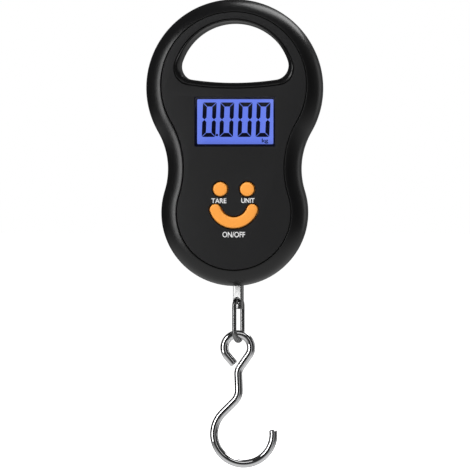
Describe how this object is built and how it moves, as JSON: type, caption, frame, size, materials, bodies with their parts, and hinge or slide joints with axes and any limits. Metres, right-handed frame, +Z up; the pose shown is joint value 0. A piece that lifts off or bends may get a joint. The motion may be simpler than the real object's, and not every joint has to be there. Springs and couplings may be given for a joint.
{
  "type": "digital fish scale",
  "caption": "Hand-held hanging scale with a handle opening, backlit display, three keys, sliding battery door, load cell, swivel hanger, link and hook.",
  "frame": {"origin": "top of the handle opening, on the case's mid-plane, where a hand or a peg holds the scale", "axes": "+X to the reader's right, +Y to the back, +Z up along the load line"},
  "size_m": [0.074, 0.028, 0.1963],
  "materials": {
    "gloss_case": "glossy black ABS",
    "face_panel": "fine matte black",
    "matte_case": "satin black ABS",
    "zinc_screw": "zinc plated",
    "clear_window": "clear acrylic",
    "display_glass": "backlit liquid crystal cell",
    "backlight": "diffusing light guide",
    "rubber_parts": "conductive silicone strip",
    "orange_key": "smooth moulded orange",
    "switch_body": "black nylon",
    "switch_plunger": "natural nylon",
    "board_green": "solder mask",
    "black_epoxy": "potting epoxy",
    "component_can": "tinned can",
    "capacitor_sleeve": "printed sleeve",
    "red_lead": "insulated wire",
    "black_lead": "insulated wire",
    "grey_lead": "insulated wires in a sleeve",
    "inner_steel": "stamped plated steel",
    "cell_alloy": "milled aluminium alloy",
    "strain_foil": "foil gauge on film",
    "battery_label": "plain shrink label",
    "nickel_contact": "nickel plated spring steel",
    "chrome_steel": "polished plated steel"
  },
  "bodies": {
    "case": {"front_shell": "gloss_case", "face_panel": "face_panel", "rear_shell": "gloss_case", "case_screw_upper_left": "zinc_screw", "case_screw_upper_right": "zinc_screw", "case_screw_lower_left": "zinc_screw", "case_screw_lower_right": "zinc_screw", "display_window": "clear_window", "display_cell": "display_glass", "backlight_panel": "backlight", "display_connector": "rubber_parts", "tare_switch": "switch_body", "unit_switch": "switch_body", "power_switch": "switch_body", "circuit_board": "board_green", "board_screw_1": "zinc_screw", "board_screw_2": "zinc_screw", "board_screw_3": "zinc_screw", "board_screw_4": "zinc_screw", "controller_chip": "black_epoxy", "crystal_can": "component_can", "filter_capacitor": "capacitor_sleeve", "positive_lead": "red_lead", "negative_lead": "black_lead", "gauge_lead": "grey_lead", "anchor_plate": "inner_steel", "anchor_screw_1": "zinc_screw", "anchor_screw_2": "zinc_screw", "anchor_screw_3": "zinc_screw", "anchor_screw_4": "zinc_screw", "cell_screw_1": "zinc_screw", "cell_screw_2": "zinc_screw", "load_cell": "cell_alloy", "strain_gauge_left": "strain_foil", "strain_gauge_right": "strain_foil", "battery_left": "battery_label", "battery_right": "battery_label", "contact_bridge": "nickel_contact", "positive_contact": "nickel_contact", "negative_contact": "nickel_contact", "contact_spring_left": "nickel_contact", "contact_spring_right": "nickel_contact"},
    "tare_key": {"tare_button": "orange_key", "tare_plunger": "switch_plunger"},
    "unit_key": {"unit_button": "orange_key", "unit_plunger": "switch_plunger"},
    "power_key": {"power_button": "orange_key", "power_plunger": "switch_plunger"},
    "door": {"battery_door": "matte_case"},
    "hanger": {"swivel_hanger": "chrome_steel"},
    "chain_link": {"link": "chrome_steel"},
    "hook": {"hook": "chrome_steel"}
  },
  "joints": [
    {"name": "tare_press", "type": "slide", "parent": "case", "child": "tare_key", "axis": [0, 1, 0], "range_m": [0, 0.0005], "stiffness_N_per_m": 2400, "springref_m": -0.0002},
    {"name": "unit_press", "type": "slide", "parent": "case", "child": "unit_key", "axis": [0, 1, 0], "range_m": [0, 0.0005], "stiffness_N_per_m": 2400, "springref_m": -0.0002},
    {"name": "power_press", "type": "slide", "parent": "case", "child": "power_key", "axis": [0, 1, 0], "range_m": [0, 0.0005], "stiffness_N_per_m": 2400, "springref_m": -0.0002},
    {"name": "door_slide", "type": "slide", "parent": "case", "child": "door", "axis": [0, 0, -1], "range_m": [0, 0.056]},
    {"name": "hanger_swivel", "type": "hinge", "parent": "case", "child": "hanger", "pos_m": [0.0015, -0.00225, -0.1163], "axis": [0, 0, 1], "continuous": true},
    {"name": "link_swing", "type": "hinge", "parent": "hanger", "child": "chain_link", "pos_m": [0.0015, -0.00225, -0.1163], "axis": [0.3746, 0.9272, 0], "range_deg": [-75, 75]},
    {"name": "hook_swing", "type": "hinge", "parent": "chain_link", "child": "hook", "pos_m": [0.0015, -0.00225, -0.1305], "axis": [-1, 0, 0], "range_deg": [-55, 55]}
  ]
}
